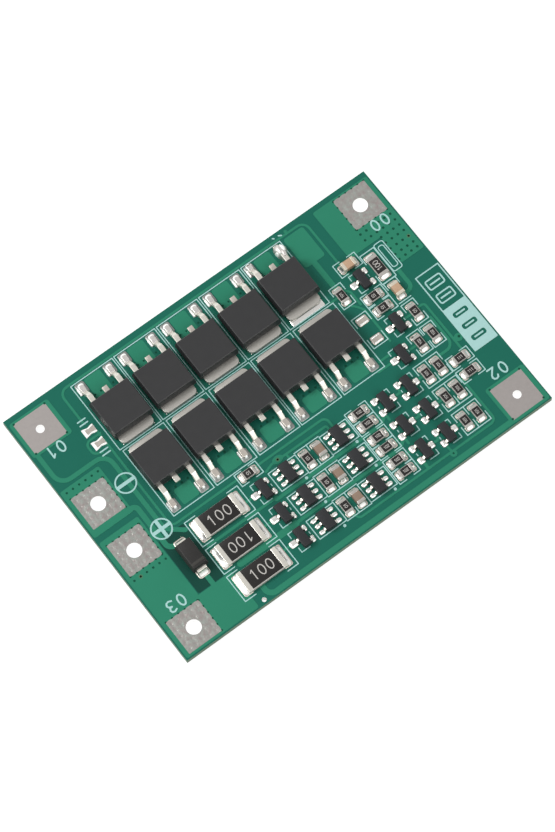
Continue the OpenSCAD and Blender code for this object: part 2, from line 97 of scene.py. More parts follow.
def material(name, colour, rough, metal=0.0, mottle=0.08, patch=600, grain=0, depth=0.0,
             gloss=0.25, along=1.0, other=None):
    """Surface with a soft mottle in colour and roughness, and a fine grain in its relief.

    The scale of the mottle is patch, that of the grain is grain, and depth is the grain's height in
    millimetres. A value of along under 1 draws the mottle out along X. The mottle runs to a second
    colour where other gives one.
    """
    m = bpy.data.materials.new(name)
    m.use_nodes = True
    tree = m.node_tree
    bsdf = tree.nodes["Principled BSDF"]
    where = new_node(tree, "ShaderNodeTexCoord")
    noise = new_node(tree, "ShaderNodeTexNoise", Scale=patch, Detail=4.0)
    drawn = new_node(tree, "ShaderNodeMapping", Scale=(along, 1, 1))
    link(where.outputs["Object"], drawn.inputs["Vector"])
    link(drawn.outputs["Vector"], noise.inputs["Vector"])
    mix = new_node(tree, "ShaderNodeMix")
    mix.data_type = "RGBA"
    mix.inputs["A"].default_value = shade(colour, 1 - mottle)
    mix.inputs["B"].default_value = shade(other or colour, 1 + mottle)
    link(noise.outputs["Fac"], mix.inputs["Factor"])
    link(mix.outputs["Result"], bsdf.inputs["Base Color"])
    spread = new_node(tree, "ShaderNodeMapRange", To_Min=rough - ROUGH_SPREAD, To_Max=rough + ROUGH_SPREAD)
    link(noise.outputs["Fac"], spread.inputs["Value"])
    link(spread.outputs["Result"], bsdf.inputs["Roughness"])
    bsdf.inputs["Metallic"].default_value = metal
    bsdf.inputs["Specular IOR Level"].default_value = gloss
    if grain:
        fine = new_node(tree, "ShaderNodeTexNoise", Scale=grain, Detail=3.0)
        link(where.outputs["Object"], fine.inputs["Vector"])
        bump = new_node(tree, "ShaderNodeBump", Strength=1.0, Distance=depth * MM)
        link(fine.outputs["Fac"], bump.inputs["Height"])
        link(bump.outputs["Normal"], bsdf.inputs["Normal"])
    return m


def floor_material():
    """White floor that keeps a faint shadow where the camera or a shiny surface sees it."""
    m = material("floor", (0.9, 0.9, 0.9, 1), 0.9, mottle=0.0)
    tree = m.node_tree
    paper = new_node(tree, "ShaderNodeBsdfDiffuse", Color=(0.3, 0.3, 0.3, 1))
    glow = new_node(tree, "ShaderNodeEmission", Strength=0.86)
    seen = new_node(tree, "ShaderNodeAddShader")
    path = new_node(tree, "ShaderNodeLightPath")
    direct = new_node(tree, "ShaderNodeMath", "MAXIMUM")
    choose = new_node(tree, "ShaderNodeMixShader")
    link(paper.outputs[0], seen.inputs[0])
    link(glow.outputs[0], seen.inputs[1])
    link(path.outputs["Is Camera Ray"], direct.inputs[0])
    link(path.outputs["Is Glossy Ray"], direct.inputs[1])
    link(direct.outputs[0], choose.inputs["Fac"])
    link(tree.nodes["Principled BSDF"].outputs[0], choose.inputs[1])
    link(seen.outputs[0], choose.inputs[2])
    link(choose.outputs[0], tree.nodes["Material Output"].inputs["Surface"])
    return m


def upright_mix(m, socket, upright, least=0.5):
    """Gives the upright faces a value of their own and leaves the rest.

    A negative least gives it to the undercut faces alone.
    """
    tree = m.node_tree
    target = tree.nodes["Principled BSDF"].inputs[socket]
    geometry = new_node(tree, "ShaderNodeNewGeometry")
    split = new_node(tree, "ShaderNodeSeparateXYZ")
    height = new_node(tree, "ShaderNodeMath", "ABSOLUTE" if least > 0 else "MINIMUM")
    height.inputs[1].default_value = 1.0
    flat = new_node(tree, "ShaderNodeMath", "GREATER_THAN")
    flat.inputs[1].default_value = least
    mix = new_node(tree, "ShaderNodeMix")
    mix.data_type = "RGBA"
    mix.inputs["A"].default_value = upright
    link(target.links[0].from_socket, mix.inputs["B"])
    link(geometry.outputs["Normal"], split.inputs["Vector"])
    link(split.outputs["Z"], height.inputs[0])
    link(height.outputs[0], flat.inputs[0])
    link(flat.outputs[0], mix.inputs["Factor"])
    link(mix.outputs["Result"], target)


# Lacquer on both faces of the board, bare glass-fibre laminate on its cut edges
LACQUER = material("board_lacquer", srgb(24, 98, 82), 0.38, mottle=0.05, patch=150, gloss=0.15)
upright_mix(LACQUER, "Base Color", srgb(60, 92, 60))
# Bright wall inside the plated holes
BARREL = material("plated_hole", srgb(164, 158, 155), 0.42, metal=0.95, mottle=0.06, patch=2600)
upright_mix(BARREL, "Base Color", srgb(250, 250, 248))
upright_mix(BARREL, "Roughness", (0.08, 0.08, 0.08, 1.0))
OVER_COPPER = material("lacquer_over_copper", srgb(43, 124, 98), 0.34, mottle=0.05, patch=180, gloss=0.15)
DARK_LACQUER = material("lacquer_over_bare_laminate", srgb(14, 64, 54), 0.38, mottle=0.05, patch=180,
                        gloss=0.15)
# Dark disc of painted shade for a small hole filled with lacquer
PIT = material("lacquered_hole", srgb(16, 76, 58), 0.5, gloss=0.1)
# Nearly black: painted shade inside an open hole
OPEN_PIT = material("open_hole", srgb(6, 24, 20), 0.6, gloss=0.1)
LEGEND = material("legend_ink", srgb(160, 200, 196), 0.6, mottle=0.06, patch=2500)
TIN = material("tinned_land", srgb(164, 158, 155), 0.42, metal=0.6, mottle=0.06, patch=2600,
               grain=5000, depth=0.006)
GRAINY_TIN = material("tinned_land_over_holes", srgb(182, 154, 156), 0.36, metal=0.6, mottle=0.3, patch=2200,
                      grain=3200, depth=0.035, other=srgb(146, 160, 152))
LEAD = material("tin_plated_lead", srgb(228, 224, 214), 0.25, metal=0.85, mottle=0.07, patch=2600,
                grain=7000, depth=0.002, along=0.2)
TAB = material("tin_plated_tab", srgb(190, 187, 180), 0.36, metal=0.75, mottle=0.1, patch=2200,
               grain=7000, depth=0.003, along=0.2)
CHIP_END = material("chip_end", srgb(190, 186, 180), 0.3, metal=0.75, mottle=0.1, patch=2600)
SOLDER = material("solder", srgb(234, 232, 228), 0.27, metal=0.95, mottle=0.04, patch=2000)
DULL_SOLDER = material("dull_solder", srgb(190, 183, 174), 0.36, metal=0.7, mottle=0.14, patch=2200)
# Near-white material for painted highlights on solder, and for painted light on the wall of the locating hole
PAINTED_LIGHT = material("painted_light_white", srgb(250, 250, 247), 0.5, metal=0.35, mottle=0.05, patch=2000)
PALE_SOLDER = material("pale_solder", srgb(206, 202, 198), 0.36, metal=0.7, mottle=0.1, patch=2200)
# Solder darkened as painted shade, for the dark board and shadow that its slopes reflect
SHADED_SOLDER = material("solder_painted_shade", srgb(140, 144, 141), 0.4, metal=0.6, mottle=0.2, patch=2200)
# Moulding compound, with painted light on the undercut faces under the overhang of a moulding, standing in for
# light thrown up from the tab below
EPOXY = material("moulded_epoxy", srgb(38, 38, 39), 0.42, mottle=0.05, patch=900,
                 grain=16000, depth=0.004, gloss=0.45)
# Painted light: the undercut faces get the paler colour
upright_mix(EPOXY, "Base Color", srgb(66, 65, 64), -0.02)
DARK_EPOXY = material("small_moulded_epoxy", srgb(41, 42, 44), 0.5, mottle=0.16, patch=1500,
                      grain=16000, depth=0.005)
DIODE_EPOXY = material("diode_moulded_epoxy", srgb(40, 39, 38), 0.5, mottle=0.14, patch=1500,
                       grain=16000, depth=0.005)
CERAMIC = material("alumina", srgb(176, 174, 168), 0.6, patch=3000)
BLACK_COAT = material("resistor_coat", srgb(36, 34, 33), 0.35, mottle=0.12, patch=2000)
CODE = material("resistor_code", srgb(184, 181, 176), 0.6, patch=4000)
TAN = material("capacitor_ceramic", srgb(138, 118, 103), 0.5, mottle=0.1, patch=2500)
PALE_TAN = material("pale_capacitor_ceramic", srgb(184, 153, 126), 0.5, mottle=0.1, patch=2500)
CREAM = material("capacitor_end", srgb(206, 197, 180), 0.4, metal=0.3, mottle=0.08, patch=2500)
BAND = material("cathode_band", srgb(56, 55, 52), 0.6, patch=3000)
RIM = material("bare_hole_rim", srgb(76, 118, 86), 0.5, metal=0.2, patch=4000)


# Meshes

# Section of a solder fillet: share of its half width and of its height
ARCH = ((-1, 0), (-0.97, 0.45), (-0.8, 0.8), (-0.45, 0.97), (0.45, 0.97), (0.8, 0.8), (0.97, 0.45), (1, 0))
# Two faces that meet at more than this angle, in degrees, keep a sharp edge
SHARP = 38


class Piece:
    """Gathers faces in millimetres and turns them into one object that rides the board."""

    def __init__(self, name):
        self.name = name
        self.verts, self.faces, self.slots, self.mats = [], [], [], []
        self.at(0, 0)

    def at(self, x, y, turn=0.0):
        """What is added next stands on the board's face at x, y, turned by turn degrees."""
        a = radians(turn)
        self.place = (x, y, cos(a), sin(a))
        return self

    def add(self, verts, faces, mat):
        x, y, c, s = self.place
        if mat not in self.mats:
            self.mats.append(mat)
        base, slot = len(self.verts), self.mats.index(mat)
        self.verts += [(x + c * p[0] - s * p[1], y + s * p[0] + c * p[1], TOP + p[2]) for p in verts]
        self.faces += [[base + i for i in f] for f in faces]
        self.slots += [slot] * len(faces)

    def loft(self, rings, mat, low=True, high=True):
        """Skin over rings of points, with its two ends closed unless low or high is off."""
        n, faces = len(rings[0]), []
        for k in range(len(rings) - 1):
            for i in range(n):
                j = (i + 1) % n
                faces.append((k * n + i, k * n + j, (k + 1) * n + j, (k + 1) * n + i))
        if low:
            faces.append(tuple(range(n - 1, -1, -1)))
        if high:
            faces.append(tuple((len(rings) - 1) * n + i for i in range(n)))
        self.add([p for r in rings for p in r], faces, mat)

    def block(self, w, l, z0, z1, r, mat, x=0.0, y=0.0):
        """Box with all its edges rounded."""
        steps = [(r, 0.0), (0.3 * r, 0.3 * r), (0.0, r)]
        rings = [round_ring(w - 2 * i, l - 2 * i, r, z0 + u, x, y) for i, u in steps]
        rings += [round_ring(w - 2 * i, l - 2 * i, r, z1 - u, x, y) for i, u in reversed(steps)]
        self.loft(rings, mat)

    def moulding(self, w, l, z0, zp, z1, draft, r, mat):
        """Moulded body: drafted above and below its parting line, with rounded edges."""
        k = tan(radians(draft))
        levels = [((zp - z0) * k, z0), (0.0, zp), ((z1 - r - zp) * k, z1 - r)]
        last = (z1 - zp) * k
        levels += [(last + 0.3 * r, z1 - 0.3 * r), (last + r, z1)]
        self.loft([round_ring(w - 2 * i, l - 2 * i, 0.1, z) for i, z in levels], mat)

    def dome(self, x0, x1, y0, y1, h, r, mat, crown):
        """Low mound of solder over a rounded rectangle, which rises over the crown's share of its half."""
        w, l, cx, cy = x1 - x0, y1 - y0, (x0 + x1) / 2, (y0 + y1) / 2
        reach = crown * min(w, l) / 2
        rings = []
        for t, z in ((0.0, 0.0), (0.02, 0.35), (0.15, 0.6), (0.4, 0.84), (0.7, 0.96), (1.0, 1.0)):
            i = reach * t
            rings.append(round_ring(w - 2 * i, l - 2 * i, max(0.02, r - i * 0.6), h * z, cx, cy))
        self.loft(rings, mat)

    def lump(self, rx, ry, h, mat, cx, cy):
        """Uneven drop of solder."""
        levels, n = 9, 30
        rings = []
        for k in range(levels):
            a = pi / 2 * k / levels
            ring = []
            for i in range(n):
                b = 2 * pi * i / n
                uneven = 1 + 0.07 * sin(3 * b + 0.7 + a) + 0.05 * sin(5 * b + 2.1 - 2 * a)
                r = cos(a) ** 0.75 * uneven
                ring.append((cx + rx * r * cos(b), cy + ry * r * sin(b), h * sin(a) ** 0.9))
            rings.append(ring)
        self.loft(rings, mat)

    def pillow(self, x0, x1, y0, y1, z0, z1, rim, r, edge, top):
        """Pad of solder with an evenly sloping rim and a level top of its own material."""
        w, l, cx, cy = x1 - x0, y1 - y0, (x0 + x1) / 2, (y0 + y1) / 2
        fall = 0.55 * rim
        steps = ((0.0, z0), (0.0, z1 - fall), (0.1 * rim, z1 - 0.8 * fall), (0.9 * rim, z1 - 0.1 * fall),
                 (rim, z1))
        rings = [round_ring(w - 2 * i, l - 2 * i, max(0.05, r - 0.7 * i), z, cx, cy, 5) for i, z in steps]
        self.loft(rings, edge, high=False)
        self.add(rings[-1], [tuple(range(len(rings[-1])))], top)

    def skirt(self, outer, inner, h, mat):
        """Solder that runs from the rim of a land up to the outline of a foot, both as x0, x1, y0, y1."""
        rings = []
        for t, z in ((0.0, 0.0), (0.04, 0.2), (0.22, 0.5), (0.5, 0.72), (0.8, 0.88), (1.0, 1.0)):
            x0, x1, y0, y1 = (a + (b - a) * t for a, b in zip(outer, inner))
            rings.append(round_ring(x1 - x0, y1 - y0, 0.3 - 0.18 * t, h * z, (x0 + x1) / 2, (y0 + y1) / 2, 5))
        self.loft(rings, mat)

    def fillet(self, start, w, out, h, mat, spread):
        """Solder that climbs an upright end at x = start and runs out along +X."""
        rim, steps = 0.05, 6
        rings = []
        for k in range(steps + 1):
            t = k / steps
            z = rim + (h - rim) * (1 - t) ** 1.5
            half = w / 2 + spread * sin(pi * min(1.0, t + 0.3)) - 0.2 * min(w, 1.6) * t ** 5
            if k == steps:
                z = 0.3 * rim
            rings.append([(start + out * t, half * u, z * v) for u, v in ARCH])
        self.loft(rings, mat)

    def ribbon(self, stations, w, t, mat, y=0.0):
        """Formed lead: stations give the distance out, the height and the slope along its middle."""
        a, b, c = w / 2, t / 2, 0.18 * t
        section = ((-a, b - c), (c - a, b), (a - c, b), (a, b - c),
                   (a, c - b), (a - c, -b), (c - a, -b), (-a, c - b))
        rings = []
        for out, z, slope in stations:
            s, k = sin(slope), cos(slope)
            rings.append([(out + s * v, y + u, z + k * v) for u, v in section])
        self.loft(rings, mat)

    def plate(self, shapes, z0, z1, mat):
        """Flat layer painted from shapes: each later shape adds to the layer or cuts it."""
        points, rings = [], []
        for sign, ring in shapes:
            area = sum(a[0] * b[1] - b[0] * a[1] for a, b in zip(ring, ring[1:] + ring[:1]))
            ring = ring if area > 0 else ring[::-1]
            rings.append(list(range(len(points), len(points) + len(ring))))
            points += [Vector(p) for p in ring]
        co, _, tris, _, _, origin = delaunay_2d_cdt(points, [], rings, 1, 1e-5)
        kept = [t for t, o in zip(tris, origin) if o and shapes[max(o)][0] == ADD]
        edges = {(t[i], t[(i + 1) % len(t)]) for t in kept for i in range(len(t))}
        rim = [e for e in edges if (e[1], e[0]) not in edges]
        n = len(co)
        verts = [(p[0], p[1], z1) for p in co] + [(p[0], p[1], z0) for p in co]
        faces = [tuple(t) for t in kept] + [(b, a, a + n, b + n) for a, b in sorted(rim)]
        used = sorted({i for f in faces for i in f})
        index = {v: i for i, v in enumerate(used)}
        self.add([verts[i] for i in used], [tuple(index[i] for i in f) for f in faces], mat)

    def make(self, *nodes, slot=None):
        """Makes the object, in the place of the solids that nodes names."""
        mesh = bpy.data.meshes.new(self.name)
        mesh.from_pydata([(x * MM, y * MM, z * MM) for x, y, z in self.verts], [], self.faces)
        for m in self.mats:
            mesh.materials.append(m)
        mesh.polygons.foreach_set("material_index", self.slots)
        mesh.polygons.foreach_set("use_smooth", [True] * len(self.faces))
        mesh.set_sharp_from_angle(angle=radians(SHARP))
        mesh.update()
        o = new_object(self.name, mesh)
        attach(o, "root")
        if nodes:
            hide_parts(*nodes)


def round_ring(w, l, r, z, cx=0.0, cy=0.0, seg=3):
    """Rounded rectangle at height z, with seg steps to a corner."""
    r = max(0.001, min(r, w / 2 - 0.001, l / 2 - 0.001))
    ring = []
    for sx, sy, a0 in ((1, -1, -90), (1, 1, 0), (-1, 1, 90), (-1, -1, 180)):
        for k in range(seg + 1):
            a = radians(a0 + 90 * k / seg)
            ring.append((cx + sx * (w / 2 - r) + r * cos(a), cy + sy * (l / 2 - r) + r * sin(a), z))
    return ring


def tab_ring(inset, z):
    """Outline of a cooling tab and the paddle behind it, whose two free corners are rounded."""
    half, back, front, r = 2.675 - inset, -1.4, 4.025 - inset, 0.7
    ring = [(-half, back, z), (half, back, z)]
    for a0, sx in ((0, 1), (90, -1)):
        for k in range(9):
            a = radians(a0 + 90 * k / 8)
            ring.append((sx * (half - r) + r * cos(a), front - r + r * sin(a), z))
    return ring


def rect(x0, x1, y0, y1, r=0.0):
    if not r:
        return [(x0, y0), (x1, y0), (x1, y1), (x0, y1)]
    return [p[:2] for p in round_ring(x1 - x0, y1 - y0, r, 0, (x0 + x1) / 2, (y0 + y1) / 2, 5)]


def disc(x, y, r, n=14):
    return [(x + r * cos(2 * pi * k / n), y + r * sin(2 * pi * k / n)) for k in range(n)]


def rounded_path(points, r):
    """Polyline with each corner turned on an arc of radius r."""
    if not r:
        return list(points)
    seg = 6
    out = [points[0]]
    for a, b, c in zip(points, points[1:], points[2:]):
        p, q, s = Vector(a), Vector(b), Vector(c)
        u, v = (p - q).normalized(), (s - q).normalized()
        half = u.angle(v) / 2
        reach = min(r / tan(half), 0.49 * (p - q).length, 0.49 * (s - q).length)
        radius = reach * tan(half)
        centre = q + (u + v).normalized() * hypot(reach, radius)
        start, end = q + u * reach - centre, q + v * reach - centre
        a0 = atan2(start.y, start.x)
        sweep = (atan2(end.y, end.x) - a0 + pi) % (2 * pi) - pi
        for k in range(seg + 1):
            t = a0 + sweep * k / seg
            out.append((centre.x + radius * cos(t), centre.y + radius * sin(t)))
    out.append(points[-1])
    return out


def end_cap(tip, back, w):
    """Round end of a line of width w that comes from back to tip."""
    a = atan2(tip.y - back.y, tip.x - back.x)
    return [tip + Vector((cos(a + t), sin(a + t))) * w / 2 for t in (1.05, 0.5, 0.0, -0.5, -1.05)]


def track(points, w, r=0.0):
    """Outline of a line of width w along points, with corners of radius r and round ends."""
    path = [Vector(p) for p in rounded_path(points, r)]
    left, right = [], []
    for i, p in enumerate(path):
        before = (p - path[i - 1]).normalized() if i else (path[1] - p).normalized()
        after = (path[i + 1] - p).normalized() if i < len(path) - 1 else before
        ahead = (before + after).normalized()
        side = Vector((-ahead.y, ahead.x)) * (w / 2 / max(0.4, ahead.dot(before)))
        left.append(p + side)
        right.append(p - side)
    left += end_cap(path[-1], path[-2], w)
    return [tuple(p) for p in left + right[::-1] + end_cap(path[0], path[1], w)]


def lines(paths, w, r=0.0):
    """Shapes of unbroken lines, one for each path."""
    return [(ADD, track(p, w, r)) for p in paths]


def strokes(path, w):
    """Shapes of a line that is drawn stretch by stretch."""
    return [(ADD, track([a, b], w)) for a, b in zip(path, path[1:])]


def oval(x, y, rx, ry, n=14):
    """Closed path, whose last point is its first."""
    turns = [2 * pi * k / n for k in range(n + 1)]
    return [(x + rx * cos(a), y + ry * sin(a)) for a in turns]


# Figures drawn with strokes, in a cell 1 high
CELL_W = 0.62
FIGURES = {
    "0": [oval(0.31, 0.5, 0.28, 0.5)],
    "1": [[(0.12, 0.78), (0.34, 1.0), (0.34, 0.0)]],
    "2": [[(0.04, 0.76), (0.12, 0.94), (0.31, 1.0), (0.5, 0.93), (0.57, 0.74), (0.5, 0.55), (0.03, 0.0),
           (0.6, 0.0)]],
    "3": [[(0.05, 0.9), (0.28, 1.0), (0.5, 0.93), (0.56, 0.75), (0.48, 0.58), (0.26, 0.52)],
          [(0.26, 0.52), (0.5, 0.46), (0.6, 0.26), (0.5, 0.06), (0.28, 0.0), (0.03, 0.1)]],
}


def figures(text, x, y, h, w, turn, pitch):
    """Strokes of a number centred on x, y, with figures h high and pitch times h apart."""
    a = radians(turn)
    c, s = cos(a), sin(a)
    width = (len(text) - 1) * pitch + CELL_W
    shapes = []
    for k, figure in enumerate(text):
        for line in FIGURES[figure]:
            moved = [((u + k * pitch - width / 2) * h, (v - 0.5) * h) for u, v in line]
            shapes += strokes([(x + c * u - s * v, y + s * u + c * v) for u, v in moved], w)
    return shapes


# Copper under the lacquer


# Wire pads: middle, bore radius, sides that small holes run along, and small holes by the corners
PADS = {
    "pad_tap_0": (26.6, 16.85, 1.05, "BLT", ()),
    "pad_tap_1": (-26.6, 16.85, 0.6, "", ((-2.47, -2.53), (2.53, -2.53), (-2.47, 2.6), (2.53, 2.6))),
    "pad_tap_2": (26.6, -17.45, 0.6, "", ((-2.6, -2.4), (2.5, -2.45), (-2.5, 2.7), (2.45, 2.68))),
    "pad_tap_3": (-26.6, -17.45, 1.05, "TR", ()),
    "pad_load_minus": (-26.6, 3.74, 1.05, "TR", ()),
    "pad_load_plus": (-26.6, -4.34, 1.05, "BTR", ()),
}
# Pitch of the small holes along and under a pad
PITCH = 1.02
LOCATING_HOLE = (-17.1, -20.0)


def copper():
    """Areas and tracks of copper that show through the lacquer."""
    areas = ((-29.7, -23.4, 13.9, 19.8, 0.4), (-29.8, -23.5, 0.1, 8.0, 0.3), (-29.8, -23.5, -20.4, -0.8, 0.3),
             (-24.2, -18.2, -20.4, -14.3, 0.3), (20.7, 29.8, 11.45, 19.8, 0.3), (25.9, 29.8, 6.8, 12.0, 0.3),
             (23.5, 29.85, -20.45, -14.4, 0.4), (15.2, 18.5, 13.9, 19.1, 0.4))
    shapes = [(ADD, rect(*area)) for area in areas]
    for x in COLUMNS:
        shapes.append((ADD, rect(x - 1.15, x + 1.5, -3.25, -0.75, 0.35)))
        shapes.append((ADD, rect(x - 1.45, x + 1.15, 15.6, 19.05, 0.35)))
    shapes += lines([[(-29.07, 14.5), (-29.07, 8.77), (-21.7, 8.77), (-21.7, -4.4), (-19.6, -6.1)]], 0.65, 1.7)
    shapes += lines([[(-24.2, 0.55), (-22.85, 0.55), (-22.85, -6.8), (-21.3, -7.2)]], 0.75, 0.9)
    shapes += lines([[(-21.1, -12.6), (-21.1, -14.8)]], 0.7)
    shapes += lines([[(-21.6, 14.0), (-21.6, 19.55), (19.1, 19.55), (19.1, 11.6)]], 0.34, 1.2)
    shapes += lines([[(-20.75, 12.0), (-20.75, -4.65), (4.45, -4.65), (4.45, -6.3)],
                     [(-20.6, 11.57), (-23.05, 11.57), (-23.05, 9.6), (-21.9, 9.2)],
                     [(-6.4, -6.05), (-5.2, -5.65), (3.8, -5.7), (3.8, -6.3)],
                     [(-2.8, -5.7), (-2.8, -6.6)],
                     [(19.1, 10.2), (19.1, 9.0)], [(14.8, 7.9), (16.1, 7.9)],
                     [(17.2, 8.4), (17.9, 7.6), (17.9, 5.3)],
                     [(16.5, 6.2), (17.3, 5.3), (17.85, 4.4), (17.85, -1.2)],
                     [(14.9, -2.75), (16.8, -2.75)], [(13.9, -3.85), (16.4, -3.85)],
                     [(21.2, 0.1), (22.4, 0.1)], [(19.1, -3.85), (20.2, -3.85)],
                     [(23.8, 0.35), (24.75, 0.35), (24.75, -8.0)],
                     [(-0.75, -17.8), (-0.4, -18.6), (22.15, -18.6), (22.15, -11.4)],
                     [(14.75, -17.6), (14.85, -18.8)], [(10.9, -17.6), (10.9, -18.6)]], 0.34, 0.8)
    shapes += lines([[(24.95, 6.3), (24.95, 3.2), (23.6, 2.95)]], 0.6, 1.1)
    shapes += lines([[(24.2, -1.8), (24.2, -6.85), (21.5, -6.85)]], 0.4, 1.2)
    shapes += lines([[(16.6, 14.2), (16.6, 9.2)]], 0.8)
    shapes += lines([[(-16.2, -17.8), (-16.2, -20.02), (24.0, -20.02)]], 0.8, 1.9)
    for y in ROWS:
        shapes += lines([[(-11.0, y + 0.1), (-9.8, y + 0.1)], [(9.3, y - 0.86), (10.9, y - 0.86)],
                         [(9.3, y + 1.02), (10.9, y + 1.02)],
                         [(13.4, y + 0.08), (14.5, y + 0.08), (14.5, y + 1.0)],
                         [(17.2, y + 0.08), (18.4, y + 0.08)], [(18.8, y - 1.1), (20.8, y - 1.1)],
                         [(6.0, y + 0.95), (7.3, y + 0.95)], [(11.0, y - 0.8), (11.0, y - 2.1)]], 0.36)
    for y in (ROWS[0] - 2.03, ROWS[1] - 2.03):
        shapes += lines([[(-7.6, y), (9.6, y), (11.0, y + 0.9)]], 0.5, 0.8)
    shapes += lines([[(-18.6, -9.7), (-7.6, -9.7), (-7.0, -9.98)]], 0.42, 0.5)
    shapes += lines([[(-16.6, -14.2), (-7.6, -14.2)]], 1.0)
    shapes.append((ADD, oval(-4.15, -5.6, 0.85, 0.55, 18)[:-1]))
    for x, y, r in ((14.85, -18.9, 0.5), (25.4, -6.3, 0.6), (16.2, 19.9, 0.25)):
        shapes.append((ADD, disc(x, y, r, 18)))
    return shapes


def vias():
    """Places and radii of the small plated holes under the lacquer."""
    found = [(x, y, 0.19) for x in (24.0, 25.0, 26.0, 27.05, 28.05, 29.05) for y in (13.4, 12.35)]
    found += [(x, y, 0.19) for x in (26.0, 27.05, 28.05, 29.05) for y in (11.4, 10.4, 9.35, 8.3, 7.4)]
    found += [(-29.05 + 1.01 * k, y, 0.17) for k in range(6) for y in (7.4, -7.75)]
    for x in COLUMNS:
        found += [(x + dx, -0.5, 0.16) for dx in (-1.6, -0.55, 0.45, 1.45)]
        found += [(x + dx, 16.35, 0.15) for dx in (-1.4, -0.45, 1.53)]
    for x, y, _, rough_sides, _ in PADS.values():
        for k in range(6):
            u, v = PITCH * k - 2.55, 2.66
            beside = (("B", u, -v), ("T", u, v), ("L", -v, u), ("R", v, u))
            found += [(x + dx, y + dy, 0.15) for side, dx, dy in beside if side in rough_sides]
    return found + [(-4.15, -5.6, 0.18), (14.85, -18.9, 0.15), (25.55, -6.25, 0.2)]


foil = Piece("copper_tracks")
holes = [(CUT, disc(x, y, r, 10)) for x, y, r in vias()]
openings = [(CUT, rect(x - 2.55, x + 2.55, y - 2.55, y + 2.55)) for x, y, *_ in PADS.values()]
foil.plate(copper() + holes + openings, 0.0, FOIL, OVER_COPPER)
foil.make(slot="solder_mask")

# Small holes drawn as flat dark discs of painted shade
pits = Piece("via_pits")
pits.plate([(ADD, disc(x, y, r + 0.02, 10)) for x, y, r in vias()], 0.0, 0.008, PIT)
# Three of the small holes are open, with a bare rim round a nearly black disc of painted shade
for x, y in ((-28.04, -7.75), (29.05, 9.33), (-4.15, -5.6)):
    pits.plate([(ADD, disc(x, y, 0.28)), (CUT, disc(x, y, 0.16))], 0.0, FOIL + 0.005, RIM)
    pits.plate([(ADD, disc(x, y, 0.15))], 0.0, 0.012, OPEN_PIT)
# Dark discs of painted shade for the small holes by the pads' corners
for x, y, _, _, corners in PADS.values():
    for dx, dy in corners:
        pits.plate([(ADD, disc(x + dx, y + dy, 0.16))], 0.0, FOIL + 0.03, PIT)
# Wall of the locating hole, near-white as painted light
pits.at(*LOCATING_HOLE)
wall = [[(x, y, z) for x, y in disc(0, 0, 0.32, 20)] for z in (-TOP + 0.01, FOIL)]
pits.loft(wall, PAINTED_LIGHT, low=False, high=False)
pits.make(slot="solder_mask")

bare = Piece("bare_windows")
bare.plate([(ADD, rect(-23.4, -19.3, -14.2, -5.2, 0.3))], 0.0, 0.004, DARK_LACQUER)
bare.make(slot="solder_mask")


# Legend ink

# Widths of the printed lines
INK_LINE, TICK_LINE, LABEL_LINE, RING_LINE, NUMERAL_LINE = 0.14, 0.2, 0.18, 0.22, 0.24


def box_line(x0, x1, y0, y1, low=None, high=None, upright=False):
    """Outline of a box, with two facing sides open from low to high if these are given."""
    if low is None:
        return [[(x0, y0), (x1, y0), (x1, y1), (x0, y1), (x0, y0)]]
    if upright:
        return [[(x0, low), (x0, y0), (x1, y0), (x1, low)], [(x0, high), (x0, y1), (x1, y1), (x1, high)]]
    return [[(low, y0), (x0, y0), (x0, y1), (low, y1)], [(high, y0), (x1, y0), (x1, y1), (high, y1)]]


